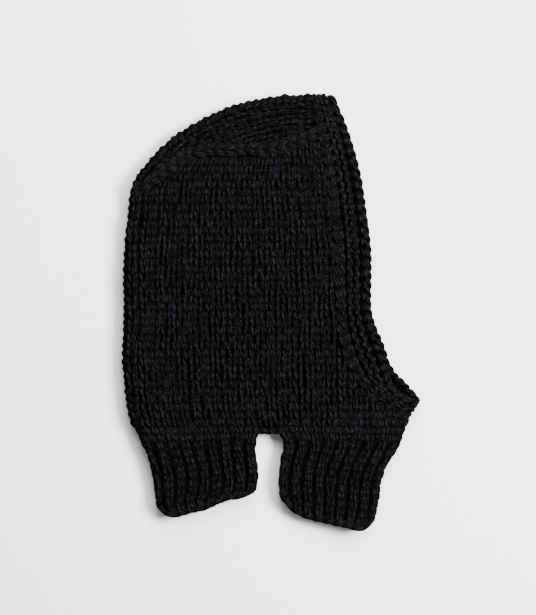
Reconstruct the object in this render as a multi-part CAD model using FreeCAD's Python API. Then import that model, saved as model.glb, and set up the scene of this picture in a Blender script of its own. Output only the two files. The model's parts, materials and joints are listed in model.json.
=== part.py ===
import FreeCAD, Part
import math
import os

# A chunky hand-knitted balaclava that lies flat on its left side.
# Two layers of knitted fabric lie one on the other, joined by folds at the back of the head,
# along the crown and down the front of the neck. Sizes are in millimetres.
# +X points to the face, +Y to the crown, +Z up. The outlines are first drawn from the back fold
# (x = 0) and the neck line where the slits end (y = 0); the last step puts the origin under the
# middle of the whole piece.

# Overall sizes
HOOD_DEPTH = 206.5  # back fold to the face edge, at eye height
HOOD_HEIGHT = 282.0  # neck line to the top of the crown
FABRIC = 8.5  # one layer of knitted fabric
AIR = 7.0  # room between the two layers
LAY = 2 * FABRIC + AIR  # height of the whole piece as it lies
FOLD_BEVEL = 7.0  # slope that stands for the roundness of a fold, on each side of it

# Crown
CROWN_BACK_RADIUS = 112.5
CROWN_BACK_TURN = math.radians(70)
CROWN_TOP_TURN = math.radians(20)
FOREHEAD_FLAT = 20.5  # straight stretch of the crown behind the forehead corner
FOREHEAD_SETBACK = 27.0  # forehead corner behind the face edge
FOREHEAD_DROP = 3.0  # forehead corner below the top of the crown

# Seam between the crown strip and the sides, below the top of the crown
SEAM_WIDTH = 8.0
SEAM_BACK_DROP = 86.0
SEAM_KNEE_X = 50.0
SEAM_KNEE_DROP = 54.0
SEAM_MID_X = 120.0
SEAM_MID_DROP = 43.0
SEAM_FRONT_DROP = 32.0

# Face band, with its cast-off edge
BAND_WIDTH = 30.0
BAND_FOREHEAD_WIDTH = 22.0
CAST_OFF_WIDTH = 7.5
FACE_BROW_RISE = 227.0  # heights above the neck line where the face edge bends
FACE_BROW_SETBACK = 11.0
FACE_CHEEK_RISE = 113.0
FACE_JAW_RISE = 72.0
FACE_JAW_REACH = 13.0  # how far the edge has come forward there
NEAR_CHIN_RISE = 40.0
NEAR_CHIN_REACH = 17.0
FAR_CHIN_RISE = 45.0
FAR_CHIN_REACH = 30.0
CHIN_REACH = 39.0  # chin tip in front of the face edge at eye height
CHIN_RISE = 30.0  # chin tip above the neck line
CHIN_BAND = 14.0  # the band's width under the chin

# Neck, slits and the two ribbed flaps
NECK_BACK_INSET = 12.5  # the neck line starts this far in from the back fold
NECK_BACK_RISE = 45.0  # the back starts to draw in here
NECK_FRONT_REACH = 26.0  # the neck line ends this far in front of the face edge
SLIT_X = 122.0  # middle of the slit, from the back fold
SLIT_WIDTH = 20.0
SLIT_BAR = 6.0  # the firm edge at the top of each slit
FRONT_FLAP_LENGTH = 77.5
FRONT_FLAP_NARROWING = 27.0  # its front edge runs back this far towards the hem
FRONT_FLAP_SLANT = 22.0  # its hem is this much shorter at the slit
BACK_FLAP_LENGTH = 66.0
BACK_FLAP_NARROWING = 22.0  # its back edge runs forward this far towards the hem
BACK_FLAP_SLANT = 15.0  # its hem is this much shorter at the slit
HEM_BELLY = 6.0  # how far the middle of a hem hangs below a straight line
HEM = 8.0
SELVEDGE = 6.0
HINGE_GAP = 0.15  # clearance on each side of the line where the flaps fold up
BACK_FOLD_DEPTH = 16.0  # width of the back panel that turns round the fold

BEYOND = 60.0  # how far a cutting solid runs past the piece


def point(x, y, z=0.0):
    return FreeCAD.Vector(x, y, z)


def line(a, b):
    return Part.makeLine(a, b)


def arc(a, middle, b):
    return Part.Arc(a, middle, b).toShape()


def curve(*points):
    spline = Part.BSplineCurve()
    spline.interpolate(list(points))
    return spline.toShape()


def ends(part):
    """The first and the last point of an edge, or a point twice."""
    if isinstance(part, FreeCAD.Vector):
        return part, part
    return part.valueAt(part.FirstParameter), part.valueAt(part.LastParameter)


def closed(*parts):
    """A face round edges and points that follow each other, joined by straight lines."""
    loop = []
    for part, following in zip(parts, parts[1:] + parts[:1]):
        if not isinstance(part, FreeCAD.Vector):
            loop.append(part)
        here = ends(part)[1]
        there = ends(following)[0]
        if (there - here).Length > 1e-6:
            loop.append(line(here, there))
    return Part.Face(Part.Wire(loop))


def slab(face, low, high):
    solid = face.extrude(point(0, 0, high - low))
    solid.translate(point(0, 0, low))
    return solid


def column(face):
    """A cutting solid over the whole height."""
    return slab(face, -BEYOND, LAY + BEYOND)


def block(x0, x1, y0, y1, z0=-BEYOND, z1=LAY + BEYOND):
    return Part.makeBox(x1 - x0, y1 - y0, z1 - z0, point(x0, y0, z0))


def turned(start, direction, radius, turn):
    """An arc that leaves start along direction (an angle) and turns right: (arc, end, direction)."""
    side = direction - math.pi / 2
    middle_of_arc = start + radius * point(math.cos(side), math.sin(side))

    def at(angle):
        back = side + math.pi - angle
        return middle_of_arc + radius * point(math.cos(back), math.sin(back))

    return arc(start, at(turn / 2), at(turn)), at(turn), direction - turn


# Points that several pieces share
WIDE = HOOD_DEPTH + CHIN_REACH + BEYOND
TALL = HOOD_HEIGHT + BEYOND
DEEP = -max(FRONT_FLAP_LENGTH, BACK_FLAP_LENGTH) - BEYOND
BAND_X = HOOD_DEPTH - BAND_WIDTH

FOREHEAD_X = HOOD_DEPTH - FOREHEAD_SETBACK
CROWN_KNEE_X = CROWN_BACK_RADIUS * (1 - math.cos(CROWN_BACK_TURN))
CROWN_TOP_RADIUS = (FOREHEAD_X - FOREHEAD_FLAT - CROWN_KNEE_X) / math.sin(CROWN_TOP_TURN)
CROWN_START_Y = (
    HOOD_HEIGHT
    - CROWN_BACK_RADIUS * math.sin(CROWN_BACK_TURN)
    - CROWN_TOP_RADIUS * (1 - math.cos(CROWN_TOP_TURN))
)
crown_back, crown_knee, heading = turned(
    point(0, CROWN_START_Y), math.pi / 2, CROWN_BACK_RADIUS, CROWN_BACK_TURN
)
crown_top, crown_front, heading = turned(
    crown_knee, heading, CROWN_TOP_RADIUS, CROWN_TOP_TURN
)
forehead = point(FOREHEAD_X, HOOD_HEIGHT - FOREHEAD_DROP)
brow = point(HOOD_DEPTH - FACE_BROW_SETBACK, FACE_BROW_RISE)
cheek = point(HOOD_DEPTH, FACE_CHEEK_RISE)
jaw = point(HOOD_DEPTH + FACE_JAW_REACH, FACE_JAW_RISE)
near_chin = point(HOOD_DEPTH + NEAR_CHIN_REACH, NEAR_CHIN_RISE)
far_chin = point(HOOD_DEPTH + FAR_CHIN_REACH, FAR_CHIN_RISE)
chin_tip = point(HOOD_DEPTH + CHIN_REACH, CHIN_RISE)
front_neck = point(HOOD_DEPTH + NECK_FRONT_REACH, 0)
back_neck = point(NECK_BACK_INSET, 0)
SLIT_BACK_X = SLIT_X - SLIT_WIDTH / 2
SLIT_FRONT_X = SLIT_X + SLIT_WIDTH / 2
slit_back_top = point(SLIT_BACK_X, 0)
slit_front_top = point(SLIT_FRONT_X, 0)


# Outlines of the hood
face_edge = curve(forehead, brow, cheek, jaw)


def chin_edge(chin):
    """The rest of the free edge round the face, which differs between the two layers."""
    return arc(jaw, chin, chin_tip)


hood_outline = closed(
    back_neck,
    point(0, NECK_BACK_RISE),
    crown_back,
    crown_top,
    face_edge,
    chin_edge(far_chin),
    front_neck,
)


def same_place(a, b):
    return math.hypot(a.x - b.x, a.y - b.y) < 1e-3


def bevelled(solid, open_runs):
    """Slopes the long edges on the top and the bottom, apart from the open runs between two points."""
    edges = []
    for edge in solid.Edges:
        a, b = ends(edge)
        is_open = any(
            same_place(a, c) and same_place(b, d) or same_place(a, d) and same_place(b, c)
            for c, d in open_runs
        )
        if edge.BoundBox.ZLength < 1e-3 and not is_open:
            edges.append(edge)
    return solid.makeChamfer(FOLD_BEVEL, edges)


# The hood: two layers, with room between them that is open at the face and at the neck
hood = bevelled(
    slab(hood_outline, 0, LAY), [(forehead, jaw), (jaw, chin_tip), (back_neck, front_neck)]
)

# The near layer's band stops short of the far layer's at the chin, so the far band shows there.
lobe = closed(chin_edge(near_chin), point(WIDE, CHIN_RISE), point(WIDE, FACE_JAW_RISE))
hood = hood.cut(slab(lobe, LAY / 2, LAY + BEYOND))

throat_back = NECK_BACK_INSET + FABRIC
throat_front = front_neck.x - FABRIC
mouth_low = CHIN_RISE + CHIN_BAND / 2
mouth_high = forehead.y - FABRIC
inner_back, inner_knee, heading = turned(
    point(FABRIC, CROWN_START_Y), math.pi / 2, CROWN_BACK_RADIUS - FABRIC, CROWN_BACK_TURN
)
inner_top, inner_front, heading = turned(
    inner_knee, heading, CROWN_TOP_RADIUS - FABRIC, CROWN_TOP_TURN
)
room = closed(
    point(throat_back, -BEYOND),
    point(throat_back, 0),
    point(FABRIC, NECK_BACK_RISE),
    inner_back,
    inner_top,
    point(inner_front.x, mouth_high),
    point(WIDE, mouth_high),
    point(WIDE, mouth_low),
    point(chin_tip.x - 2 * FABRIC, mouth_low),
    point(throat_front, 0),
    point(throat_front, -BEYOND),
)
hood = hood.cut(slab(room, FABRIC, FABRIC + AIR))
hood = hood.common(block(-BEYOND, WIDE, HINGE_GAP, TALL))


# Cutting solids that share out the hood among its pieces, so that neighbours meet face to face
def beside(edge, far_x, far_y):
    """The region between an edge and the corner (far_x, far_y)."""
    first, last = ends(edge)
    corners = point(far_x, last.y), point(far_x, far_y), point(first.x, far_y)
    return column(closed(edge, *corners))


def above(edge):
    """The region above an edge that runs from the back to the face."""
    first, last = ends(edge)
    return column(closed(edge, point(last.x, TALL), point(first.x, TALL)))


seam_low = curve(
    point(-BEYOND / 3, HOOD_HEIGHT - SEAM_BACK_DROP - BEYOND / 3),
    point(SEAM_KNEE_X, HOOD_HEIGHT - SEAM_KNEE_DROP),
    point(SEAM_MID_X, HOOD_HEIGHT - SEAM_MID_DROP),
    point(BAND_X, HOOD_HEIGHT - SEAM_FRONT_DROP),
)
seam_high = seam_low.copy()
seam_high.translate(point(0, SEAM_WIDTH))
band_inner = curve(
    point(forehead.x - BAND_FOREHEAD_WIDTH, TALL),
    point(forehead.x - BAND_FOREHEAD_WIDTH + 2, HOOD_HEIGHT - SEAM_FRONT_DROP),
    point(BAND_X, FACE_CHEEK_RISE),
    point(BAND_X + FACE_JAW_REACH, FACE_JAW_RISE - BAND_WIDTH / 2),
    point(near_chin.x, CHIN_RISE - CHIN_BAND / 2),
    point(WIDE, CHIN_RISE - CHIN_BAND * 2),
)


def edge_strip(chin):
    """The region outside a line that runs one cast-off width inside the face edge."""
    inward = point(-CAST_OFF_WIDTH, 0)
    slanting = point(-CAST_OFF_WIDTH, -CAST_OFF_WIDTH) * math.sqrt(1 / 2)
    down = point(0, -CAST_OFF_WIDTH)
    start = point(forehead.x - 2 * CAST_OFF_WIDTH, TALL)
    upper = curve(start, forehead + inward, brow + inward, cheek + inward, jaw + inward)
    lower = arc(jaw + inward, chin + slanting, chin_tip + down)
    corners = point(WIDE, CHIN_RISE - CAST_OFF_WIDTH), point(WIDE, TALL)
    return column(closed(upper, lower, *corners))


near_half = block(-BEYOND, WIDE, DEEP, TALL, z0=LAY / 2)
far_half = block(-BEYOND, WIDE, DEEP, TALL, z1=LAY / 2)
band_region = beside(band_inner, WIDE, TALL)
crown_region = above(seam_high).cut(band_region)
seam_region = above(seam_low).cut(above(seam_high)).cut(band_region)
chin_region = block(BAND_X, WIDE, 0, FACE_JAW_RISE).cut(band_region)
back_region = column(
    closed(
        point(-BEYOND, 0),
        point(NECK_BACK_INSET + BACK_FOLD_DEPTH, 0),
        point(BACK_FOLD_DEPTH, NECK_BACK_RISE),
        point(BACK_FOLD_DEPTH, TALL),
        point(-BEYOND, TALL),
    )
).cut(above(seam_low))
slit_region = block(SLIT_BACK_X, SLIT_FRONT_X, 0, SLIT_BAR)

pieces = {}
side = hood
for region in (above(seam_low), band_region, chin_region, back_region, slit_region):
    side = side.cut(region)
pieces["right_side_panel"] = side.common(near_half)
pieces["left_side_panel"] = side.common(far_half)
pieces["back_panel"] = hood.common(back_region)
pieces["crown_strip"] = hood.common(crown_region)
pieces["chin_panel"] = hood.common(chin_region)
for name, half, chin in (("right", near_half, near_chin), ("left", far_half, far_chin)):
    layer = hood.common(half)
    band = layer.common(band_region)
    strip = edge_strip(chin)
    pieces[name + "_crown_seam"] = layer.common(seam_region)
    pieces[name + "_face_band"] = band.cut(strip)
    pieces[name + "_face_cast_off"] = band.common(strip)
    pieces[name + "_slit_bar"] = layer.common(slit_region)


# The two ribbed flaps below the neck line: each is folded at its outer edge, and open along the
# slit and the hem.
def flap(name, slit_top, slit_foot, hem_foot, outer_edge, outward):
    """outward is +1 on the front flap, whose fold faces +X, and -1 on the back flap."""
    hem_middle = (slit_foot + hem_foot) * (1 / 2) - point(0, HEM_BELLY)
    hem = arc(slit_foot, hem_middle, hem_foot)
    face = closed(slit_top, hem, outer_edge)
    solid = slab(face, 0, LAY)
    neck_corner = ends(outer_edge)[1]
    solid = bevelled(solid, [(slit_top, slit_foot), (slit_foot, hem_foot), (neck_corner, slit_top)])
    inner_edge = outer_edge.copy()
    inner_edge.translate(point(-outward * FABRIC, 0))
    start, finish = ends(inner_edge)
    slit_side = slit_top.x - outward * BEYOND
    inside = closed(
        inner_edge,
        point(finish.x, BEYOND),
        point(slit_side, BEYOND),
        point(slit_side, DEEP),
        point(start.x, DEEP),
    )
    solid = solid.cut(slab(inside, FABRIC, FABRIC + AIR))
    solid = solid.common(block(-BEYOND, WIDE, DEEP, -HINGE_GAP))
    aside = point(outward * BEYOND, 0)
    hem_region = column(
        closed(
            slit_foot - aside,
            hem,
            hem_foot + aside,
            point(hem_foot.x + aside.x, DEEP),
            point(slit_foot.x - aside.x, DEEP),
        )
    )
    hem_region.translate(point(0, HEM))
    edge_line = slit_foot.x + outward * SELVEDGE
    edge_region = block(
        min(edge_line, slit_side), max(edge_line, slit_side), DEEP, BEYOND
    ).cut(hem_region)
    pieces[name] = solid.cut(hem_region).cut(edge_region)
    pieces[name + "_cast_off"] = solid.common(hem_region)
    pieces[name + "_right_selvedge"] = solid.common(edge_region).common(near_half)
    pieces[name + "_left_selvedge"] = solid.common(edge_region).common(far_half)


front_hem_foot = point(front_neck.x - FRONT_FLAP_NARROWING, -FRONT_FLAP_LENGTH)
flap(
    "front_flap",
    slit_front_top,
    point(SLIT_FRONT_X, FRONT_FLAP_SLANT - FRONT_FLAP_LENGTH),
    front_hem_foot,
    curve(
        front_hem_foot,
        point(front_neck.x - FRONT_FLAP_NARROWING * 2 / 3, -FRONT_FLAP_LENGTH / 2),
        front_neck,
    ),
    1,
)
back_hem_foot = point(NECK_BACK_INSET + BACK_FLAP_NARROWING, -BACK_FLAP_LENGTH)
flap(
    "back_flap",
    slit_back_top,
    point(SLIT_BACK_X, BACK_FLAP_SLANT - BACK_FLAP_LENGTH),
    back_hem_foot,
    curve(
        back_hem_foot,
        point(NECK_BACK_INSET + BACK_FLAP_NARROWING / 2, -BACK_FLAP_LENGTH / 3),
        back_neck,
    ),
    -1,
)

# The origin goes under the middle of the whole piece, on the surface that it lies on.
extent = Part.makeCompound(list(pieces.values())).optimalBoundingBox(False)
to_origin = point(-extent.Center.x, -extent.Center.y, -extent.ZMin)
print("size", [round(v, 2) for v in (extent.XLength, extent.YLength, extent.ZLength)])
print("neck line at y =", round(to_origin.y, 3), " back fold at x =", round(to_origin.x, 3))

os.makedirs("parts", exist_ok=True)
for name, shape in pieces.items():
    solids = shape.Solids
    if len(solids) != 1:
        raise ValueError(f"{name} is {len(solids)} solids")
    solid = solids[0].copy()
    solid.translate(to_origin)
    solid.exportStep(f"parts/{name}.step")
    box = solid.BoundBox
    print(f"{name:28s} {solid.isValid()} {solid.Volume / 1000:8.2f} cm3", end=" ")
    print([round(v, 1) for v in (box.XMin, box.XMax, box.YMin, box.YMax, box.ZMin, box.ZMax)])
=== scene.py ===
# %% [markdown]
# # A chunky hand-knitted balaclava, stitch by stitch
# The hood lies flat on its left side, and all of it is one thick black woollen yarn. Stitches drawn
# on a smooth shape would look flat at its edges and in the slits, so this lesson lays real loops
# of yarn, row by row, where a knitter's needles would put them.

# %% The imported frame, and the sizes that come from it
import json
import math
import random

import bmesh
import bpy
import numpy as np
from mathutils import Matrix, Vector, kdtree, noise


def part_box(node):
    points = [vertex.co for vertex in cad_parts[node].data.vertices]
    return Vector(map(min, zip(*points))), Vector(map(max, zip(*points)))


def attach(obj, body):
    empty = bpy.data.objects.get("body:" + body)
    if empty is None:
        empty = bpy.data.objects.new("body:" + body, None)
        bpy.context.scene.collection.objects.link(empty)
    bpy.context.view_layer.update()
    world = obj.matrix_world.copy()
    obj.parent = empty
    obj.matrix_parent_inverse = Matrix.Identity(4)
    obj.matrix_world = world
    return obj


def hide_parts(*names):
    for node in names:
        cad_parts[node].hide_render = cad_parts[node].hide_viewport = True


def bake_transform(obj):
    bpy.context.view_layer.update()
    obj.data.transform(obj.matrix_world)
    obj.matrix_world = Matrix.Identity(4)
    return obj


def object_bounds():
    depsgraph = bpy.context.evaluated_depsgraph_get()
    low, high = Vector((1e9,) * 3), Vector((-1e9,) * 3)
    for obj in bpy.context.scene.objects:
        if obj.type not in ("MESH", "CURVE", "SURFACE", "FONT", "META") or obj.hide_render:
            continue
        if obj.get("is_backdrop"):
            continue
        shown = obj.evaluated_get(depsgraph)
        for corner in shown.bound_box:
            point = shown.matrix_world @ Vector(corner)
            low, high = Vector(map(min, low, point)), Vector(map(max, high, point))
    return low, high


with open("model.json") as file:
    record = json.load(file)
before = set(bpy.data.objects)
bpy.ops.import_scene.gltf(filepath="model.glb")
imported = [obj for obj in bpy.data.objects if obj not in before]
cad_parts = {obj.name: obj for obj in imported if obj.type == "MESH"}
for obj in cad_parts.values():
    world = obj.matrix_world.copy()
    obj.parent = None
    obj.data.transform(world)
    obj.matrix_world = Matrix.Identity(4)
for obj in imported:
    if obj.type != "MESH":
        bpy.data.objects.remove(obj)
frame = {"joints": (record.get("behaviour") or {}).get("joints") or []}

cad_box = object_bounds()
MM = 0.001  # a millimetre in metres: all knitting sizes below are in millimetres


def box_mm(node):
    """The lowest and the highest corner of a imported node."""
    low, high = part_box(node)
    return np.array(low) / MM, np.array(high) / MM


neck_joint = next(joint for joint in frame["joints"] if joint["name"] == "front_flap_fold")
NECK = neck_joint["pos_m"][1] / MM
BACK = box_mm("back_panel")[0][0]
LAY = box_mm("back_panel")[1][2]
FABRIC = box_mm("left_slit_bar")[1][2]
CROWN = box_mm("crown_strip")[1][1] - NECK
CHIN = box_mm("left_face_cast_off")[1][0] - BACK
SLIT_BACK, SLIT_FRONT = (box_mm("right_slit_bar")[end][0] - BACK for end in (0, 1))
print(f"lies {LAY:.1f} mm high in two layers of {FABRIC:.1f} mm, {CROWN:.0f} mm from neck to crown")

# %% [markdown]
# ## Gauge
# A knitter counts columns and rows. This yarn gives plain columns of about 9 mm and rows of
# 6.3 mm. It is nearly half a column thick, so a loop's two legs fill the column and only narrow
# dark gaps stay between them.

# %% Yarn and gauge
YARN = 4.2  # diameter of the yarn
ROW = 6.3
SIDE_COLUMNS = 19.5  # columns from the back fold to the face band
CROWN_COLUMN = 8.8
RIB_STITCHES = 35  # across a flap and back on its other layer
CAST_OFF_STITCH = 9.1
SAMPLES = 12  # points on the yarn of one stitch
rng = random.Random(7)
print(f"a loop's two legs fill {2 * YARN:.1f} mm of a column of about {CAST_OFF_STITCH} mm")

# %% [markdown]
# ## Outlines
# Outlines are in millimetres from the back fold and the neck line. A knitted edge has no corners,
# so a smooth curve through a few points is enough.

# %% A smooth curve through points, and ways to read it
CURVE_STEPS = 10  # points on the curve for each point that it is given


def flowing(points):
    """Points closely spaced on a smooth curve through the given ones."""
    p = np.array([points[0], *points, points[-1]], float)
    p[0] = 2 * p[1] - p[2]
    p[-1] = 2 * p[-2] - p[-3]
    t = np.linspace(0, 1, CURVE_STEPS, endpoint=False)[:, None]
    runs = []
    for a, b, c, d in zip(p, p[1:], p[2:], p[3:]):
        square = 2 * a - 5 * b + 4 * c - d
        cube = 3 * b - a - 3 * c + d
        runs.append(b + 0.5 * ((c - a) * t + square * t**2 + cube * t**3))
    return np.concatenate([*runs, p[-2:-1]])


def x_at(curve, y):
    """How far forward the curve is at a height."""
    order = np.argsort(curve[:, 1])
    return float(np.interp(y, curve[order, 1], curve[order, 0]))


def lengths(curve):
    """How far along the curve each of its points is."""
    return np.concatenate([[0], np.cumsum(np.linalg.norm(np.diff(curve, axis=0), axis=1))])


def ease(x):
    """Goes gently from 0 to 1 as x does."""
    x = min(max(x, 0.0), 1.0)
    return x * x * (3 - 2 * x)


# %% The folds and the crown seam
back_fold = flowing([
    (11, 3), (5.5, 20), (3, 36), (1, 61), (1.6, 100), (2, 145), (6, 190), (10.5, 211), (22.5, 226.5),
    (37, 242), (53, 253.5), (83, CROWN - 13), (107, CROWN - 5.5), (133, CROWN - 1),
    (152, CROWN - 0.4), (168, CROWN - 1), (178, CROWN - 4),
])
front_fold = flowing([
    (CHIN - 1, 32), (CHIN - 2.5, 25), (CHIN - 4.8, 17), (CHIN - 8.3, 11), (CHIN - 9.8, 5), (231.3, -8),
    (220.3, -26), (216, -38), (214.3, -51), (212, -63), (209, -71), (203, -78),
])
flap_back = flowing([
    (10, 8), (13, 0), (18.5, -11), (23, -23), (25.5, -36), (26.5, -46), (29, -57), (35, -66),
])
seam_line = flowing([
    (10, 199), (20, 205), (37, 217), (55, 230), (70, 234), (91, 235), (122, 236), (142, 240), (160, 248),
])
print(f"the fold up the back and over the head is {lengths(back_fold)[-1]:.0f} mm long")
print(f"a crown seam is {lengths(seam_line)[-1]:.0f} mm long")

# %% [markdown]
# The face band is drawn as lines across it, from the edge it was picked up from to its free
# edge. The two layers differ only at the chin, where the far one shows past the near one.

# %% Lines across the face band, from the chin to the forehead
cheek_lines = [
    ((183, 67), (217, 75)), ((178.5, 86), (210.5, 90)), ((177, 105), (206.7, 105)),
    ((176.5, 130), (206.7, 130)), ((175, 160), (206, 157)), ((170, 205), (199.7, 205)),
    ((165, 237), (192, 237)), ((160.5, 258), (184.5, 258)), ((158.5, 270), (179, 270)),
]
near_lines = [
    ((223.5, 17.5), (238, 31.5)), ((216, 25), (229, 36)), ((203, 36), (222.5, 46)), ((191, 51), (221, 61)),
]
far_lines = [
    ((223.5, 17.5), (239.5, 38)), ((216, 25), (236, 43)), ((203, 36), (228, 51)), ((191, 51), (221.5, 62)),
]
band_inner = flowing([inner for inner, outer in near_lines + cheek_lines])
jaw_line = flowing([inner for inner, outer in near_lines + cheek_lines[:2]])[::-1]  # from the cheek down

# %% The nearest fold to any place, for the sag of the top layer
folds = np.concatenate([back_fold, front_fold, flap_back])
fold_tree = kdtree.KDTree(len(folds))
for index, (x, y) in enumerate(folds):
    fold_tree.insert((x, y, 0), index)
fold_tree.balance()

# %% [markdown]
# ## Places on the cloth
# Each part of the cloth has a function that turns knitting coordinates into a point: the way
# across the row, the way along the column, and the height above the middle of the cloth. A fold
# is a half circle, so one function carries a row round from the top layer to the bottom one.

# %% From knitting coordinates to points
HALF = FABRIC / 2
TURN = (LAY - FABRIC) / 2  # radius of a fold, to the middle of the cloth
QUARTER = math.pi * TURN / 2  # cloth from the edge of a fold to where it lies flat
SETBACK = HALF + TURN  # from a fold's outer edge to where the cloth lies flat
RESTING = 2.0  # the middle of a yarn stays this far above what the hood lies on
SAG = 4.0  # how far the top layer sinks between the folds
SAG_START, SAG_SPAN = 10.0, 45.0  # how far from a fold the sinking starts, and how soon it is full
UNEVEN, UNEVEN_WIDE = 1.1, 34.0  # height and width of the unevenness of soft cloth
UNEVEN_SEED = 90.0  # picks one such unevenness
PUCKERS = [  # where the top layer is drawn in: x, y, reach and depth
    (214, 27, 14, 6.0), (176, 74, 16, 1.6), (96, 150, 40, 1.2), (150, 195, 34, 1.0), (70, 60, 30, 1.0),
]


def to_metres(x, y, z):
    """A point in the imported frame. The underside is pressed flat where it rests."""
    return Vector(((x + BACK) * MM, (y + NECK) * MM, max(z, RESTING) * MM))


def settle(x, y, z, up):
    """Sinks the top layer between the folds, with the small unevenness of soft cloth."""
    if up > 0:
        _, _, away = fold_tree.find((x, y, 0))
        z += UNEVEN * noise.noise(Vector((x, y, UNEVEN_SEED)) / UNEVEN_WIDE) * up
        z -= SAG * ease((away - SAG_START) / SAG_SPAN) * up
        for pucker_x, pucker_y, reach, depth in PUCKERS:
            z -= depth * up * ease(1 - math.hypot(x - pucker_x, y - pucker_y) / reach)
    return x, y, z


def over_fold(x, y, out_x, out_y, q, height):
    """A point on cloth that turns over a fold. q is the way along the cloth from the fold's edge."""
    if abs(q) < QUARTER:
        angle = q / TURN
        inward, level = TURN * (1 - math.cos(angle)), TURN * math.sin(angle)
        flat, up = math.cos(angle), math.sin(angle)
    else:
        inward = TURN + abs(q) - QUARTER
        up = math.copysign(1, q)
        flat, level = 0.0, TURN * up
    reach = height * flat - inward - HALF
    return to_metres(*settle(x + out_x * reach, y + out_y * reach, LAY / 2 + level + height * up, up))


def cloth_from_fold(inside):
    """Cloth from a fold's edge to a place that lies this far inside the fold's outer edge."""
    return inside - SETBACK + QUARTER


# %% [markdown]
# The hood's columns count from the back fold, positive on the top layer. Below the band they go
# on round the chin, and from half way they are measured from the front fold, so that both folds
# stay round. The columns wander a little, as a knitter's tension does.

# %% The hood below the crown
JAW_TOP, JAW_FRONT = 86, 178.0  # below this height the side ends this far forward
CHIN_TOP = 30  # below this height the cloth goes round the front fold
WANDER_ASIDE, WANDER_ALONG = 0.16, 1.7  # how far stitches wander, in columns and in millimetres
ASIDE_PATCH, ALONG_PATCH = 38, 45  # height over which the wander changes
LEVEL_TO, LEVEL_SPAN = 10, 40  # the neck line stays level, and the wander grows over this height


def column_width(y):
    """Width of a column at this height, drawn in where the cloth narrows."""
    front = x_at(band_inner, y) if y > JAW_TOP else JAW_FRONT
    return cloth_from_fold(front - x_at(back_fold, y)) / SIDE_COLUMNS


def half_round(y):
    """Cloth from the back fold to the front fold, over the top layer."""
    return 2 * QUARTER + x_at(front_fold, y) - x_at(back_fold, y) - 2 * SETBACK


def on_hood(column, y, height):
    """A point of the hood: in columns from the back fold, and along a column in millimetres."""
    wander = noise.noise(Vector((column * 0.3, y / ALONG_PATCH, 3)))
    column += WANDER_ASIDE * noise.noise(Vector((y / ASIDE_PATCH, column * 0.5, 8)))
    y += WANDER_ALONG * wander * ease((y - LEVEL_TO) / LEVEL_SPAN)
    q = column * column_width(y)
    if y < CHIN_TOP and abs(q) > half_round(y) / 2:
        from_front = math.copysign(half_round(y) - abs(q), q)
        return over_fold(x_at(front_fold, y), y, 1, 0, from_front, height)
    return over_fold(x_at(back_fold, y), y, -1, 0, q, height)


def drawn_x(column, y):
    """Where a column is, measured from the back fold."""
    return on_hood(column, y, 0).x / MM - BACK


# %% The crown, measured along its fold
CROWN_FOOT = (9, 205)  # near the point of the fold where the strip starts
BAND_FRONT = 161  # how far forward the strip meets the face band
SLOPE_SPAN = 6.0  # the crown's direction is taken over this much on each side
crown_start = int(np.argmin(np.linalg.norm(back_fold - CROWN_FOOT, axis=1)))
crown_fold = back_fold[crown_start:]
crown_length = lengths(crown_fold)
CROWN_END = float(np.interp(BAND_FRONT, crown_fold[:, 0], crown_length))
print(f"the crown strip is {CROWN_END:.0f} mm long, {CROWN_END / ROW:.0f} rows")


def crown_edge(v):
    """The crown's fold v millimetres along, and the direction out of it."""

    def at(s):
        return np.array([np.interp(s, crown_length, crown_fold[:, k]) for k in (0, 1)])

    run = at(v + SLOPE_SPAN) - at(v - SLOPE_SPAN)
    run /= np.linalg.norm(run)
    return float(at(v)[0]), float(at(v)[1]), float(-run[1]), float(run[0])


def on_crown(q, v, height):
    """A point of the crown strip: across from its fold, and along it."""
    return over_fold(*crown_edge(v), q, height)


SEAM_NEAR, SEAM_FAR, SEAM_STEP = 4, 70, 0.5  # where the seam is looked for, in from the fold


def seam_reach(v):
    """Cloth from the crown's fold to the seam."""
    x, y, out_x, out_y = crown_edge(v)
    inward = np.arange(SEAM_NEAR, SEAM_FAR, SEAM_STEP)
    below = y - out_y * inward < np.interp(x - out_x * inward, seam_line[:, 0], seam_line[:, 1])
    return cloth_from_fold(inward[np.argmax(below)])


# %% [markdown]
# A flap is a strip of rib folded at its outer edge. The way across runs from the slit edge of
# the top layer, over the fold, to the slit edge of the bottom layer.

# %% The two flaps
FLAP_TOP = 8.0  # the rib begins a little above the neck line
EDGE_INSET = 2.4  # the middle of the cloth ends this far inside a bound edge


def flap_place(fold, slit, hem, out):
    """The place function of a flap: t runs across it, v down it, both from 0 to 1."""
    hem_share = np.abs(hem[:, 0] - hem[0, 0]) / abs(hem[-1, 0] - hem[0, 0])

    def on_flap(t, v, height):
        share = abs(1 - 2 * t)
        hem_y = float(np.interp(share, hem_share, hem[:, 1]))
        y = FLAP_TOP + v * (hem_y - FLAP_TOP)
        edge = x_at(fold, y)
        whole = cloth_from_fold(abs(x_at(slit, y) - edge) - EDGE_INSET)
        return over_fold(edge, y, out, 0, (1 - 2 * t) * whole, height)

    return on_flap


on_front_flap = flap_place(
    front_fold,
    flowing([
        (131.5, -55), (130, -44), (129.8, -33), (131.3, -19), (133.8, -10), (132.8, -4), (131, 1), (129, 9),
    ]),
    flowing([(208.5, -72), (202, -78.5), (183, -75.5), (154, -69.5), (139.5, -63), (131, -52)]),
    1,
)
on_back_flap = flap_place(
    flap_back,
    flowing([
        (104, -52), (112, -45), (114.2, -33), (113, -21), (112, -12), (112.8, -4), (114.5, 2.5), (116, 9),
    ]),
    flowing([(29.5, -60), (35, -66), (45, -66.5), (62, -63), (76, -60.3), (93, -53), (103, -51), (109, -46)]),
    -1,
)

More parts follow.
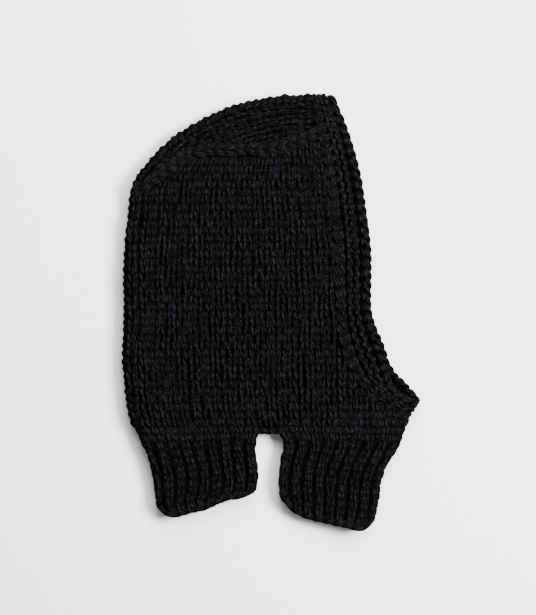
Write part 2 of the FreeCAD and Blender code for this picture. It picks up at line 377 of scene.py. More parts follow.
# %% [markdown]
# The face band is a closed ring: forwards along the near layer from chin to forehead, over the
# head, back down the far layer, and under the chin. Its lines across are kept as pairs of points.

# %% The ring of the face band
TURN_LINES = 9  # lines across the band in a half turn, its two ends among them


def lay_band(lines, up):
    """Inner edge, outer edge and upward direction along one layer of the band."""
    inner, outer = (flowing([line[k] for line in lines]) for k in (0, 1))
    level = LAY / 2 + up * TURN
    return [
        (np.array(settle(*a, level, up)), np.array(settle(*b, level, up)), np.array([0, 0, up]))
        for a, b in zip(inner, outer)
    ]


def turn_band(last, before, target):
    """The half circle that carries the band from one layer to the other."""
    ahead = (last[0] + last[1] - before[0] - before[1]) * (1, 1, 0)
    ahead = ahead / np.linalg.norm(ahead)
    steps = []
    for angle in np.linspace(math.pi / 2, -math.pi / 2, TURN_LINES)[1:-1]:
        share = 0.5 - math.sin(angle) / 2
        pair = []
        for a, b in zip(last[:2], target[:2]):
            spot = a * (1 - share) + b * share + ahead * TURN * math.cos(angle)
            spot[2] = LAY / 2 + (a[2] - b[2]) / 2 * math.sin(angle)
            pair.append(spot)
        steps.append((*pair, ahead * math.cos(angle) + (0, 0, math.sin(angle))))
    return steps


near, far = lay_band(near_lines + cheek_lines, 1), lay_band(far_lines + cheek_lines, -1)
over_head = turn_band(near[-1], near[-2], far[-1])
under_chin = turn_band(near[0], near[1], far[0])
ring = near + over_head + far[::-1] + under_chin[::-1]
ring_inner, ring_outer, ring_up = (np.array([line[k] for line in ring + ring[:1]]) for k in range(3))
ring_length = lengths((ring_inner + ring_outer) / 2)
BAND_ROUND = ring_length[-1]
OVER_HEAD = ring_length[len(near) + len(over_head) // 2]
UNDER_CHIN = ring_length[len(near) + len(over_head) + len(far) + len(under_chin) // 2] - BAND_ROUND
BAND_SPANS = {"right": (UNDER_CHIN, OVER_HEAD), "left": (OVER_HEAD, UNDER_CHIN + BAND_ROUND)}
print(f"the band is {BAND_ROUND:.0f} mm round, {OVER_HEAD - UNDER_CHIN:.0f} mm of it on the near layer")


def on_band(w, share, height):
    """w runs round the band, share across it from its picked-up edge to its free edge."""
    w %= BAND_ROUND
    inner, outer, up = (
        np.array([np.interp(w, ring_length, values[:, k]) for k in range(3)])
        for values in (ring_inner, ring_outer, ring_up)
    )
    return to_metres(*(inner + (outer - inner) * share + height * up / np.linalg.norm(up)))


# %% [markdown]
# ## Stitches
# A row of knitting is one wavy yarn. Seen from the front, the two legs of each loop come forward
# and lean apart, and its head and foot go to the back, behind the rows above and below. A sine
# in each direction gives that path, and a little chance in each stitch gives the hand's work.

# %% One loop, and rows of loops
WAIST = 0.17  # how far the legs lean, in columns
REACH = 0.84  # half the height of a loop, in rows
DEPTH = HALF - YARN / 2  # how far the legs come forward
HAND_ASIDE = 0.09  # the unevenness of one leg: sideways in columns, the rest in millimetres
HAND_ALONG = 0.7
HAND_BACK, HAND_FORWARD = 0.8, 0.6


def loop(turn, row_height, depth, waist=WAIST):
    """Where the yarn is in a loop: across in columns, along and forward in millimetres."""
    across = waist * math.sin(2 * turn)
    along = -REACH * row_height * math.cos(turn)
    return across, along, -depth * math.cos(2 * turn)


def hand():
    """One leg's share of unevenness: aside, along, forward."""
    aside = rng.uniform(-HAND_ASIDE, HAND_ASIDE)
    along = rng.uniform(-HAND_ALONG, HAND_ALONG)
    return aside, along, rng.uniform(-HAND_BACK, HAND_FORWARD)


def plain_row(place, first, last, y, keep=None, depth=DEPTH):
    """The yarn of a plain row, as one path for each run of stitches that keep lets through."""
    paths, path = [], []
    for column in range(first, last + 1):
        if keep and not keep(column):
            paths.append(path)
            path = []
            continue
        legs = hand(), hand()
        for step in range(1 if path else 0, SAMPLES + 1):
            turn = 2 * math.pi * step / SAMPLES
            across, along, forward = loop(turn, ROW, depth)
            aside, lift, proud = (math.sin(turn) ** 2 * v for v in legs[step > SAMPLES // 2])
            side = column - 0.5 + step / SAMPLES + across + aside
            path.append(place(side, y + along + lift, forward + proud))
    return [path for path in paths + [path] if path]


# %% Chains and ropes along a line
LINK_OPEN = 0.1  # share of a link's turn that is left open at each end, where it comes out of the next
LINK_WAIST = 0.24
LINK_DEPTH = 1.6
LINK_SLIP = 1 / 9  # of a leg's unevenness, in links


def chain(place, start, end, stitch, width):
    """Loops drawn through each other along one line. place takes the way along, across and height."""
    count = round((end - start) / stitch)
    link = (end - start) / count
    paths = []
    for number in range(count):
        aside, slip, proud = hand()
        path = []
        for step in range(SAMPLES + 1):
            turn = 2 * math.pi * (LINK_OPEN + (1 - 2 * LINK_OPEN) * step / SAMPLES)
            across, along, forward = loop(turn, link, LINK_DEPTH, LINK_WAIST)
            side = (turn / (2 * math.pi) - 0.5 + across + aside) * width
            middle = start + (number + 0.5 + slip * LINK_SLIP) * link
            path.append(place(middle + along, side, forward + proud))
        paths.append(path)
    return paths


def rope(place, start, end, pitch, radius):
    """Two yarns twisted round each other along one line, like the edge that a cast-off leaves."""
    count = round(SAMPLES * (end - start) / pitch)
    paths = [[], []]
    for number in range(count + 1):
        s = start + (end - start) * number / count
        for path, phase in zip(paths, (0, math.pi)):
            angle = 2 * math.pi * number / SAMPLES + phase
            path.append(place(s, radius * math.cos(angle), radius * math.sin(angle)))
    return paths


# %% [markdown]
# ## From paths to yarn
# A curve with a round bevel is the yarn. It is made a mesh, because its UV map can then count
# the points along the path. A stitch has twelve of them, so the map says where in its stitch each
# bit of yarn lies.

# %% Yarn from paths
SWELL = 0.08  # how much thicker the yarn is where a leg comes forward
SPUN, SPUN_STEP = 0.07, 0.41  # hand-spun thick and thin: how much, and radians from point to point
ROUGH = 0.05


def yarn(name, paths, diameter=YARN, swell=SWELL):
    """One mesh of yarn along the paths."""
    curve = bpy.data.curves.new(name, "CURVE")
    curve.dimensions = "3D"
    curve.bevel_depth = diameter / 2 * MM
    curve.bevel_resolution = 1
    curve.use_fill_caps = True
    for path in paths:
        spline = curve.splines.new("POLY")
        spline.points.add(len(path) - 1)
        phase = rng.uniform(0, 9)
        for number, (point, spot) in enumerate(zip(spline.points, path)):
            point.co = (*spot, 1)
            plump = -swell * math.cos(4 * math.pi * number / SAMPLES)
            spun = SPUN * math.sin(number * SPUN_STEP + phase)
            point.radius = 1 + plump + spun + rng.uniform(-ROUGH, ROUGH)
        spline.use_smooth = True
    holder = bpy.data.objects.new(name, curve)
    bpy.context.scene.collection.objects.link(holder)
    view = bpy.context.evaluated_depsgraph_get()
    mesh = bpy.data.meshes.new_from_object(holder.evaluated_get(view), depsgraph=view)
    bpy.data.objects.remove(holder)
    bpy.data.curves.remove(curve)
    count_points(mesh)
    return add_piece(name, mesh)


def count_points(mesh):
    """Scales the map along the yarn, so that it rises by one from each point to the next."""
    starts, totals = np.zeros((2, len(mesh.polygons)), np.int32)
    mesh.polygons.foreach_get("loop_start", starts)
    mesh.polygons.foreach_get("loop_total", totals)
    uv = np.zeros(len(mesh.loops) * 2, np.float32)
    mesh.uv_layers[0].data.foreach_get("uv", uv)
    quads = starts[totals == 4][:, None] + np.arange(4)
    along = uv[2 * quads]
    rise = along.max(axis=1, keepdims=True) - along.min(axis=1, keepdims=True)
    uv[2 * quads] = along / np.maximum(rise, 1e-6)
    mesh.uv_layers[0].data.foreach_set("uv", uv)


def add_piece(name, mesh):
    mesh.name = name
    piece = bpy.data.objects.new(name, mesh)
    bpy.context.scene.collection.objects.link(piece)
    return piece


# %% [markdown]
# ## The wool
# This is super-bulky wool, loosely plied, dyed black in the hank and slightly felted in wear. It
# gives the eye a matt near-black with a cold cast, a faint bloom where fine hairs catch light, a
# slanting grain from the twist, and a random mottle from the dye and the hairs. Over this the
# colour carries painted light and shade: legs painted paler at their crest and darker in the depth
# of the stitch. The bloom is sheen, and the rest follows the yarn's own map.


# %% A colour and a node
def hex_colour(text):
    """An sRGB hex colour as the linear values that a shader takes."""
    values = (int(text[k : k + 2], 16) / 255 for k in (0, 2, 4))
    return (*(v / 12.92 if v <= 0.04045 else ((v + 0.055) / 1.055) ** 2.4 for v in values), 1)


def add_node(tree, kind, settings=None, **inputs):
    """Adds a node. settings are its properties. An input is a value or a socket, and iN is input N."""
    node = tree.nodes.new(kind)
    for name, value in (settings or {}).items():
        setattr(node, name, value)
    for name, value in inputs.items():
        socket = node.inputs[int(name[1:])] if name[1:].isdigit() else node.inputs[name.replace("_", " ")]
        if isinstance(value, bpy.types.NodeSocket):
            tree.links.new(value, socket)
        else:
            socket.default_value = value
    return node


# %% The knitting wool
PLIES = 3
TWIST = 7.0  # points of the path in which a ply goes once round the yarn
HAIR_SCALE = 1 / 0.0012  # hairs are drawn 1.2 mm coarse, because the real ones would not show
DYE_SCALE = 1 / 0.009  # the dye took unevenly over about 9 mm
SHADES_AT = (0.18, 0.6, 1.0)  # where the painted shade of the stitch's depth, the body colour and the painted highlight of its crest lie
OF_PAINTED_LIGHT, OF_PLY, OF_DYE, OF_HAIRS = 0.47, 0.07, 0.32, 1.3  # what each adds to the shade value: the stitch's share is painted light and shade, the others are dye mottle, hairs and ply grain
HAIRS_HIGH = 1.6  # height of the hairs in the bump, against that of the plies


def plied_wool(name, deep, body, crest, bloom):
    """Wool in three colours, from painted shade in the depth of the stitch to a painted highlight on the
    crest of its legs.
    """
    material = bpy.data.materials.new(name)
    material.use_nodes = True
    tree = material.node_tree
    shader = tree.nodes["Principled BSDF"]
    place = add_node(tree, "ShaderNodeTexCoord")
    along, around, _ = add_node(tree, "ShaderNodeSeparateXYZ", i0=place.outputs["UV"]).outputs

    def maths(operation, *values):
        inputs = {f"i{k}": value for k, value in enumerate(values)}
        return add_node(tree, "ShaderNodeMath", {"operation": operation}, **inputs).outputs[0]

    turns = maths("MULTIPLY_ADD", around, float(PLIES), maths("DIVIDE", along, TWIST))
    ply = maths("SINE", maths("MULTIPLY", turns, 2 * math.pi))
    # painted light and shade: each leg is painted paler at its middle and darker where the yarn bends into
    # the depth of the stitch
    in_stitch = maths("MULTIPLY", along, 4 * math.pi / SAMPLES)
    proud = maths("MULTIPLY_ADD", maths("COSINE", in_stitch), -0.5, 0.5)

    def cloudy(scale, roughness):
        spots = place.outputs["Object"]
        cloud = add_node(tree, "ShaderNodeTexNoise", i0=spots, Scale=scale, Detail=3.0, Roughness=roughness)
        return cloud.outputs["Fac"]

    hairs, dye = cloudy(HAIR_SCALE, 0.7), cloudy(DYE_SCALE, 0.6)
    tint = maths("MULTIPLY_ADD", dye, OF_DYE, maths("MULTIPLY_ADD", hairs, OF_HAIRS, -OF_HAIRS / 2))
    shade = maths("MULTIPLY_ADD", proud, OF_PAINTED_LIGHT, maths("MULTIPLY_ADD", ply, OF_PLY, tint))
    ramp = add_node(tree, "ShaderNodeValToRGB", Fac=shade)
    ramp.color_ramp.elements.new(0.5)
    for stop, position, colour in zip(ramp.color_ramp.elements, SHADES_AT, (deep, body, crest)):
        stop.position = position
        stop.color = hex_colour(colour)
    height = maths("MULTIPLY_ADD", hairs, HAIRS_HIGH, ply)
    bump = add_node(tree, "ShaderNodeBump", Height=height, Strength=0.9, Distance=0.0006)
    tree.links.new(ramp.outputs["Color"], shader.inputs["Base Color"])
    tree.links.new(bump.outputs["Normal"], shader.inputs["Normal"])
    shader.inputs["Roughness"].default_value = 0.95
    shader.inputs["Specular IOR Level"].default_value = 0.012
    shader.inputs["Sheen Weight"].default_value = bloom
    shader.inputs["Sheen Roughness"].default_value = 0.5
    shader.inputs["Sheen Tint"].default_value = hex_colour("a4a8b4")
    return material


# one dye lot: the copies differ only in painted light and shade, with the darkest painted shade in the gaps
# of the plain and ribbed cloth and the lightest on the firm edges
plain_wool = plied_wool("plied_wool_in_stocking_stitch", "020202", "050506", "252529", 0.004)
band_wool = plied_wool("plied_wool_in_garter_stitch", "030303", "070708", "28282b", 0.004)
rib_wool = plied_wool("plied_wool_in_rib", "020202", "050506", "26262a", 0.004)
edge_wool = plied_wool("plied_wool_cast_off", "060607", "0a0a0b", "26262a", 0.004)
# coarse undyed hair catches the light; the near-black sheet in the middle of the cloth is painted shade in
# the gaps between the stitches
pale_hair = plied_wool("undyed_guard_hair", "0c0c0b", "30302d", "5c5c56", 0.02)
shade_sheet_wool = plied_wool("felted_wool_between_stitches", "010101", "010101", "020203", 0.001)

# %% [markdown]
# ## Handing a piece over
# Every piece takes a finish and the place of a imported node, and a piece of the hood takes the
# hood's body to move with. The flaps hinge on the hood at the neck line, but a flap's pieces are
# only baked where they lie: they get no body, and nothing bends them across the hinge line.

# %% Finishing a piece
BEND = (6.0, -40.0)  # heights on a flap between which it would bend when turned up; the points made from them are not used


def finish_piece(piece, material, slot, node=None, flap=None):
    """Finishes a piece: one of the hood moves with the hood, and one of a flap is only baked where it lies,
    with no body and no bend.
    """
    piece.data.materials.clear()
    piece.data.materials.append(material)
    if flap:
        start, end = (to_metres(SLIT_BACK, y, LAY) for y in BEND)
        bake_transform(piece)
        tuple(start)
        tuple(end)
    else:
        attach(piece, "hood")
    if node:
        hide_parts(node)
    piece.data.calc_loop_triangles()
    print(f"{piece.name}: {len(piece.data.loop_triangles)} triangles")


# %% [markdown]
# ## The sides, the back and the chin
# These are one plain cloth. The back takes the three columns round the fold, each side takes the
# next eighteen, and the chin takes what goes on in front of them, below the face band. A row
# stops at the crown seam.

# %% Plain rows of the hood
ROWS = [FLAP_TOP + ROW * (row + 0.5) for row in range(40)]  # more than reach the crown seam
SEAM_GAP = 4  # between the last row and the middle of the seam


def stocking_stitch(name, first, last):
    """Plain columns, first to last, up to the crown seam."""
    paths = []
    for y in ROWS:

        def below_seam(column, y=y):
            return y < np.interp(drawn_x(column, y), seam_line[:, 0], seam_line[:, 1]) - SEAM_GAP

        paths += plain_row(on_hood, first, last, y, keep=below_seam)
    return yarn(name, paths)


finish_piece(stocking_stitch("right_side_knit", 2, 19), plain_wool, "stockinette", "right_side_panel")
finish_piece(stocking_stitch("left_side_knit", -19, -2), plain_wool, "stockinette", "left_side_panel")
finish_piece(stocking_stitch("back_knit", -1, 1), plain_wool, "stockinette", "back_panel")

# %% The chin: round the front fold below the band, and up to the band on each layer above it
CHIN_COLUMN = 20
CHIN_COLUMNS = 8  # on one layer, above the foot of the band
BAND_FOOT = 19.0  # below this height a chin row runs right round the front fold
UNDER_BAND = 4  # how far the chin rows run on under the band

chin_paths = []
for y in ROWS:
    if y < BAND_FOOT:
        last = round(2 * half_round(y) / column_width(y)) - CHIN_COLUMN
        chin_paths += plain_row(on_hood, CHIN_COLUMN, last, y)
    elif y < jaw_line[0, 1]:
        for side in (1, -1):

            def on_side(column, v, height, side=side):
                return on_hood(side * column, v, height)

            def under_band(column, y=y):
                return y < np.interp(drawn_x(column, y), jaw_line[:, 0], jaw_line[:, 1]) + UNDER_BAND

            chin_paths += plain_row(on_side, CHIN_COLUMN, CHIN_COLUMN + CHIN_COLUMNS - 1, y, keep=under_band)
finish_piece(yarn("chin_knit", chin_paths), plain_wool, "stockinette", "chin_panel")

# %% [markdown]
# ## The crown and its seams
# The crown strip was knitted from the back of the head to the forehead, so its columns lie along
# the head, and it was sewn to the sides with thick slanting stitches.

# %% The crown strip
CROWN_OVERLAP = 2  # the strip's cloth reaches this far under the seam
CROWN_PROUD = 0.3  # its legs stand this much prouder than the sides' do
crown_paths = []
for row in range(int(CROWN_END / ROW)):
    v = ROW * (row + 0.5)
    columns = int((seam_reach(v) + CROWN_OVERLAP) / CROWN_COLUMN)

    def in_column(column, along, height):
        return on_crown(column * CROWN_COLUMN, along, height)

    crown_paths += plain_row(in_column, -columns, columns, v, depth=DEPTH + CROWN_PROUD)
finish_piece(yarn("crown_knit", crown_paths), plain_wool, "stockinette", "crown_strip")

# %% The two crown seams
seam_length = lengths(seam_line)
SEAM_STITCH = 8.6
SEAM_WIDTH = 8.5
SEAM_YARN = 4.8
SEAM_PROUD = 1.8  # how far the sewing stands on the cloth


def seam_place(side):
    """The place function of the seam on one layer: the way along, across and height."""

    def place(s, across, height):
        x = float(np.interp(s, seam_length, seam_line[:, 0]))
        y = float(np.interp(s, seam_length, seam_line[:, 1])) + across
        inside = max(x - x_at(back_fold, y), 0.0)
        q = inside * QUARTER / SETBACK if inside < SETBACK else cloth_from_fold(inside)
        return over_fold(x_at(back_fold, y), y, -1, 0, side * q, height + SEAM_PROUD)

    return place


for side, layer in ((1, "right"), (-1, "left")):
    stitches = chain(seam_place(side), 0, seam_length[-1], SEAM_STITCH, SEAM_WIDTH)
    piece = yarn(layer + "_seam_stitches", stitches, SEAM_YARN)
    finish_piece(piece, edge_wool, "edge_yarn", layer + "_crown_seam")

# %% [markdown]
# ## The face band
# The band was picked up along the edge and knitted outwards: first a line of picked-up loops,
# then garter rows. In garter stitch the heads and feet of the loops come forward instead of the
# legs, and meet in ridges of small bumps. The cast-off edge looks like a two-strand rope.

# %% Garter rows, picked-up loops and the cast-off
BAND_WIDE = 29.0  # at the cheek; places across the band are shares of its width
PICKED_UP, PICKED_UP_WIDTH = 0.14, 6.6
GARTER_ROWS = (0.31, 0.50, 0.69)
GARTER_REACH = 0.125  # from the middle of a row to its bumps
GARTER_DEPTH, GARTER_WAIST = 1.5, 0.07
GARTER_PROUD = 0.8
GARTER_YARN, BUMP_SWELL = 4.4, 0.2
ROPE_AT, ROPE_RADIUS = 0.9, 1.45  # the radius of each yarn's path round the rope
ROPE_PITCH = 1.7 * CAST_OFF_STITCH
ROPE_YARN = 3.9


def garter_row(start, end, share):
    """One wavy yarn, whose heads and feet are the bumps."""
    count = round((end - start) / CAST_OFF_STITCH)
    stitch = (end - start) / count
    path = []
    # the row starts a quarter stitch early so that the wool's painted highlight falls on the bumps and its
    # painted shade between them
    for step in range(-SAMPLES // 4, count * SAMPLES + 1):
        turn = 2 * math.pi * step / SAMPLES
        if step % (SAMPLES // 2) == SAMPLES // 4:
            aside, lift, proud = hand()
        across, along, forward = loop(turn, GARTER_REACH / REACH, GARTER_DEPTH, GARTER_WAIST)
        w = start + (step / SAMPLES + across) * stitch + aside
        path.append(on_band(w, share + along + lift / 100, GARTER_PROUD - forward + proud * 0.6))
    return path


def band_line(share):
    """The place function of a line along the band: the way along, across and height."""

    def place(w, across, height):
        return on_band(w, share + across / BAND_WIDE, height)

    return place


for layer, (start, end) in BAND_SPANS.items():
    loops = chain(band_line(PICKED_UP), start, end, CAST_OFF_STITCH, PICKED_UP_WIDTH)
    bumps = [garter_row(start, end, share) for share in GARTER_ROWS]
    piece = yarn(layer + "_band_knit", loops + bumps, GARTER_YARN, BUMP_SWELL)
    finish_piece(piece, band_wool, "face_band", layer + "_face_band")
    edge = rope(band_line(ROPE_AT), start, end, ROPE_PITCH, ROPE_RADIUS)
    piece = yarn(layer + "_cast_off_rope", edge, ROPE_YARN, swell=0)
    finish_piece(piece, edge_wool, "edge_yarn", layer + "_face_cast_off")

# %% [markdown]
# ## The flaps
# Below the neck the knitting parts at the shoulders into two flaps in rib: a plain stitch stands
# up, and a purl stitch sinks beside it. A half cosine over each stitch lifts one and sinks the
# next, so a rib row is still one wavy yarn.

# %% Ribs, with their selvedges and hems
RIB_RISE = 1.15  # how far a standing stitch is above the middle of the cloth
RIB_DEPTH = 1.3
RIB_WAIST = 0.75 * WAIST
RIB_SPREAD = 0.13  # how far a standing stitch spreads over its sunken neighbours, in stitches
RIB_DEEPENS = 4  # rows from the plain neck to the full rib
FLAPS = {"front_flap": (on_front_flap, 13, 75.0), "back_flap": (on_back_flap, 11, 66.0)}  # rows, length
FLAP_ACROSS = 160.0  # both layers together
RIB_END, HEM_AT = 0.95, 0.957  # shares of the flap's length
SELVEDGE_INSET = 1.2
SELVEDGE_SPAN, SELVEDGE_PITCH = (0.1, 0.97), 0.34  # shares of the flap's length
EDGE_RADIUS, EDGE_YARN = 1.4, 4.2


def rib_row(place, v, v_step, sunk):
    """One row of rib. sunk goes from 0 at the plain neck to 1 where the rib is full."""
    path = []
    for step in range(RIB_STITCHES * SAMPLES + 1):
        turn = 2 * math.pi * step / SAMPLES
        if step % (SAMPLES // 2) == 0:
            leg = hand()
        aside, lift, proud = (math.sin(turn) ** 2 * value for value in leg)
        across, along, forward = loop(turn, v_step, RIB_DEPTH, RIB_WAIST)
        stand = 1 - sunk + sunk * math.cos((turn - math.pi) / 2)
        spread = sunk * RIB_SPREAD * math.sin((turn - math.pi) / 2) + aside
        t = (step / SAMPLES + across + spread) / RIB_STITCHES
        v_here = v - along - lift / ROW * v_step
        path.append(place(t, v_here, stand * (RIB_RISE * sunk + forward) + proud))
    return path


for flap, (place, rows, long) in FLAPS.items():
    v_step = RIB_END / rows
    rib = []
    for row in range(rows):
        rib.append(rib_row(place, (row + 0.5) * v_step, v_step, ease((row + 1) / RIB_DEEPENS)))
    finish_piece(yarn(flap + "_rib", rib), rib_wool, "ribbing", flap, flap)

    def on_hem(t, across, height, place=place, long=long):
        return place(t, HEM_AT + across / long, height)

    hem = rope(on_hem, 0.0, 1.0, 2 * CAST_OFF_STITCH / FLAP_ACROSS, EDGE_RADIUS)
    finish_piece(yarn(flap + "_hem_rope", hem, EDGE_YARN), edge_wool, "edge_yarn", flap + "_cast_off", flap)
    for layer, edge, inward in (("right", 0, 1), ("left", 1, -1)):

        def on_selvedge(v, across, height, place=place, edge=edge, inward=inward):
            return place(edge + inward * (SELVEDGE_INSET + across) / FLAP_ACROSS, v, height)

        strands = rope(on_selvedge, *SELVEDGE_SPAN, SELVEDGE_PITCH, EDGE_RADIUS)
        name = f"{flap}_{layer}_selvedge"
        finish_piece(yarn(name + "_yarn", strands, EDGE_YARN), edge_wool, "edge_yarn", name, flap)

# %% The firm edge over each slit
BAR_Y = 4.4  # the middle of the edge, above the neck line
BAR_PITCH = 13.0
BAR_OVER = 3  # how far it runs past the slit at each end

for layer, up in (("right", 1), ("left", -1)):

    def on_bar(x, across, height, up=up):
        return to_metres(*settle(x, BAR_Y + across, LAY / 2 + up * (TURN + height), up))

    bar = rope(on_bar, SLIT_BACK - BAR_OVER, SLIT_FRONT + BAR_OVER, BAR_PITCH, EDGE_RADIUS)
    finish_piece(yarn(layer + "_slit_yarn", bar, EDGE_YARN), edge_wool, "edge_yarn", layer + "_slit_bar")

# %% [markdown]
# ## Loose hairs
# A few pale guard hairs have worked out of the wool and lie on the near side. They are the
# thinnest yarn of all, so the same function makes them.

# %% A few pale guard hairs
HAIRS = 16
HAIR = 0.35  # drawn thicker than a real hair, which would not show
HAIR_STEP, HAIR_STEPS = 1.3, (5, 11)
HAIR_COLUMNS, HAIR_HEIGHTS = (2, 18), (15, 215)  # where hairs start
HAIR_LIFT, HAIR_TURN = (0.1, 0.7), 0.7  # above the crests, and the most it turns at a step


def loose_hair():
    """The path of one hair, which wanders over the crests of the near side."""
    column, y, way = rng.uniform(*HAIR_COLUMNS), rng.uniform(*HAIR_HEIGHTS), rng.uniform(0, 6)
    path = []
    for _ in range(rng.randint(*HAIR_STEPS)):
        path.append(on_hood(column, y, DEPTH + YARN / 2 + rng.uniform(*HAIR_LIFT)))
        way += rng.uniform(-HAIR_TURN, HAIR_TURN)
        column += HAIR_STEP * math.cos(way) / column_width(y)
        y += HAIR_STEP * math.sin(way)
    return path


hairs = yarn("loose_guard_hairs", [loose_hair() for _ in range(HAIRS)], HAIR, swell=0)
finish_piece(hairs, pale_hair, "stockinette")

# %% [markdown]
# ## Between the stitches
# Between the stitches of such cloth one sees only shade, and never through it. A thin near-black
# sheet in the middle of the cloth closes the gaps and is the painted shade there. Each sheet is a
# plain grid that the same place functions bend, so it runs through the heart of the stitches, and
# a Solidify modifier gives it a thickness.

# %% Near-black sheets: painted shade between the stitches
SHADE_SHEET_THICK = 2.0
WELD = 0.05  # corners closer than this are one, as at a tip


def shade_sheet(name, place, low, high, cells):
    """A sheet between two corners in knitting coordinates."""
    bm = bmesh.new()
    bmesh.ops.create_grid(bm, x_segments=cells[0], y_segments=cells[1], size=0.5)
    for vertex in bm.verts:
        a, b = (low[k] + (high[k] - low[k]) * (vertex.co[k] + 0.5) for k in (0, 1))
        vertex.co = place(a, b, 0)
    bmesh.ops.remove_doubles(bm, verts=bm.verts, dist=WELD * MM)
    mesh = bpy.data.meshes.new(name)
    bm.to_mesh(mesh)
    piece = add_piece(name, mesh)
    wall = piece.modifiers.new("wall", "SOLIDIFY")
    wall.thickness = SHADE_SHEET_THICK * MM
    wall.offset = 0
    view = bpy.context.evaluated_depsgraph_get()
    piece.data = bpy.data.meshes.new_from_object(piece.evaluated_get(view), depsgraph=view)
    piece.modifiers.clear()
    bm.clear()
    bm.from_mesh(piece.data)
    bmesh.ops.recalc_face_normals(bm, faces=bm.faces)
    bm.to_mesh(piece.data)
    bm.free()
    return piece


# %% Where each dark sheet runs
SHADE_SHEET_FOOT = 5  # height at which the hood's sheets start
SHADE_SHEET_UNDER_BAND = 5
SHADE_SHEET_UNDER_SEAM = 2  # the side's sheet runs this far under the seam, and the crown's one more
MID_HEIGHT = 150  # where the side's columns are as wide as over most of the hood
SEAM_FOOT = 198  # height of the seam at the back fold
SHADE_SHEET_CHIN_TOP = 84
SHADE_SHEET_BAND_END = 0.9  # across the band, under the cast-off rope
SHADE_SHEET_FLAP = ((0.01, 0), (0.99, 0.95))


def side_felt(column, share, height):
    """From the neck up to the crown seam."""
    x = abs(column) * column_width(MID_HEIGHT)
    top = float(np.interp(x, seam_line[:, 0], seam_line[:, 1], left=SEAM_FOOT)) + SHADE_SHEET_UNDER_SEAM
    return on_hood(column, SHADE_SHEET_FOOT + share * (top - SHADE_SHEET_FOOT), height)


def chin_shade_sheet(side):
    """From the side's last column to the band, or to the front fold below it."""

    def place(share, y, height):
        reach = half_round(y) / column_width(y)
        if y > BAND_FOOT:
            front = float(np.interp(y, jaw_line[::-1, 1], jaw_line[::-1, 0])) + SHADE_SHEET_UNDER_BAND
            reach = min(reach, cloth_from_fold(front - x_at(back_fold, y)) / column_width(y))
        return on_hood(side * (CHIN_COLUMN - 1 + share * (reach - CHIN_COLUMN + 1)), y, height)

    return place


def crown_felt(share, v, height):
    """From the seam of one layer, over the crown's fold, to the seam of the other."""
    return on_crown(share * (seam_reach(v) + SHADE_SHEET_UNDER_SEAM + 1), v, height)


def band_corners(layer):
    """The corners of one layer's sheet, in the ring's own coordinates."""
    start, end = BAND_SPANS[layer]
    return (start, 0), (end, SHADE_SHEET_BAND_END)


# %% [markdown]
# ## What was knitted
# Each sheet is declared with its flat size, which is what the knitter counted: stitches times
# their width, by rows times their height.

# %% The sheets and the knitting on them
SIDE_CORNERS = ((-SIDE_COLUMNS, 0), (SIDE_COLUMNS, 1))
CHIN_CORNERS = ((0, SHADE_SHEET_FOOT), (1, SHADE_SHEET_CHIN_TOP))
CROWN_CORNERS = ((-1, 0), (1, CROWN_END))
on_side_sheet = [
    "right_side_knit", "left_side_knit", "back_knit", "right_seam_stitches", "left_seam_stitches",
    "right_slit_yarn", "left_slit_yarn", "loose_guard_hairs",
]
sheets = [  # name, place, corners, cells, flat width and length in metres, slot, knitting on the sheet
    ("side_felt", side_felt, SIDE_CORNERS, (60, 48), (0.355, 0.225), "stockinette", on_side_sheet),
    ("right_chin_felt", chin_shade_sheet(1), CHIN_CORNERS, (12, 24), (0.05, 0.08), "stockinette", ["chin_knit"]),
    ("left_chin_felt", chin_shade_sheet(-1), CHIN_CORNERS, (12, 24), (0.05, 0.08), "stockinette", []),
    ("crown_felt", crown_felt, CROWN_CORNERS, (30, 40), (0.07, 0.19), "stockinette", ["crown_knit"]),
]
for layer in BAND_SPANS:
    on_it = [layer + "_band_knit", layer + "_cast_off_rope"]
    corners = band_corners(layer)
    sheets.append((layer + "_band_felt", on_band, corners, (70, 6), (0.27, 0.028), "face_band", on_it))
for flap, long in (("front_flap", 0.075), ("back_flap", 0.065)):
    on_it = [flap + part for part in ("_rib", "_hem_rope", "_right_selvedge_yarn", "_left_selvedge_yarn")]
    sheets.append((flap + "_felt", FLAPS[flap][0], SHADE_SHEET_FLAP, (50, 16), (0.17, long), "ribbing", on_it))

for name, place, corners, cells, flat, slot, on_it in sheets:
    piece = shade_sheet(name, place, *corners, cells)
    area = sum(face.area for face in piece.data.polygons) / 2
    print(f"{name}: {area / (flat[0] * flat[1]):.2f} of its flat area")
    flap = name.removesuffix("_felt") if slot == "ribbing" else None
    finish_piece(piece, shade_sheet_wool, slot, flap=flap)
    [bpy.data.objects[part] for part in on_it]

# %% [markdown]
# ## Floor, light and camera
# A plain white floor, a large soft light from the face side and a weaker one from beyond the
# crown leave the shadows between the stitches dark, which is what makes black knitting read.


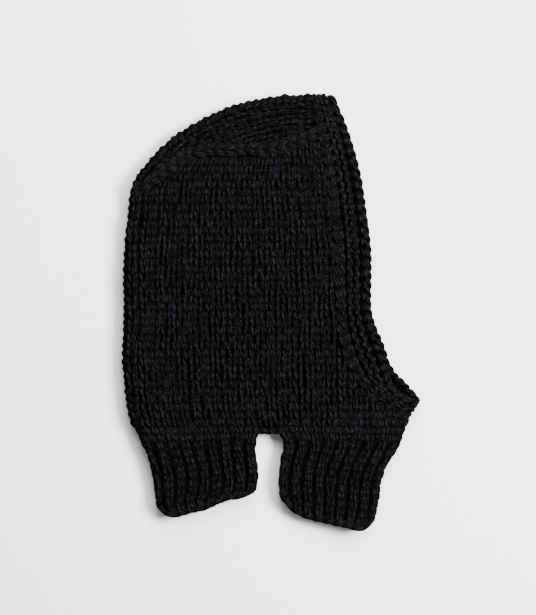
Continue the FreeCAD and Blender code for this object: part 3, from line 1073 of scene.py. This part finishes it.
# %% Studio
def soft_light(name, place, size, power):
    """A square lamp that looks at the middle of the hood."""
    light = bpy.data.lights.new(name, "AREA")
    light.size = size
    light.energy = power
    holder = bpy.data.objects.new(name, light)
    holder.location = place
    holder.rotation_euler = (-Vector(place)).to_track_quat("-Z", "Y").to_euler()
    bpy.context.scene.collection.objects.link(holder)


soft_light("key_light", (0.95, 0.2, 1.5), size=0.6, power=105)
soft_light("fill_light", (0.2, 0.9, 1.5), size=1.0, power=50)

world = bpy.data.worlds.new("studio")
world.use_nodes = True
world.node_tree.nodes["Background"].inputs["Color"].default_value = (1, 1, 1, 1)
world.node_tree.nodes["Background"].inputs["Strength"].default_value = 0.35
bpy.context.scene.world = world

# %% The floor
FLOOR_SIZE = 4.0
FLOOR_DROP = 0.5 * MM  # the lowest stitches press into it by a little
bm = bmesh.new()
bmesh.ops.create_grid(bm, x_segments=1, y_segments=1, size=FLOOR_SIZE)
bmesh.ops.translate(bm, verts=bm.verts, vec=(0, 0, -FLOOR_DROP))
floor_mesh = bpy.data.meshes.new("floor")
bm.to_mesh(floor_mesh)
bm.free()
floor = add_piece("floor", floor_mesh)
paper = bpy.data.materials.new("matt_white_paper")  # uncoated paper: no gloss, an even pale tone
paper.use_nodes = True
paper.node_tree.nodes["Principled BSDF"].inputs["Base Color"].default_value = hex_colour("f8f8f8")
paper.node_tree.nodes["Principled BSDF"].inputs["Roughness"].default_value = 0.9
floor.data.materials.append(paper)
floor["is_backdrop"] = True

# %% The camera looks straight down
CAMERA_HEIGHT = 1.8
VIEW_HEIGHT = 0.510  # what the longer side of the view takes in, on the floor
VIEW_CENTRE = (-0.0012, 0.0033)
SENSOR = 36.0
camera_data = bpy.data.cameras.new("camera")
camera_data.sensor_width = SENSOR
camera_data.lens = SENSOR * CAMERA_HEIGHT / VIEW_HEIGHT
camera = bpy.data.objects.new("camera", camera_data)
camera.location = (*VIEW_CENTRE, CAMERA_HEIGHT)
bpy.context.scene.collection.objects.link(camera)
bpy.context.scene.camera = camera

# %% Sizes, and the end
seen_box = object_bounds()
boxes = {"cad": cad_box, "visual": seen_box}
{name: [list(map(float, corner)) for corner in box] for name, box in boxes.items()}
print("packed", cad_box, "visual", seen_box)
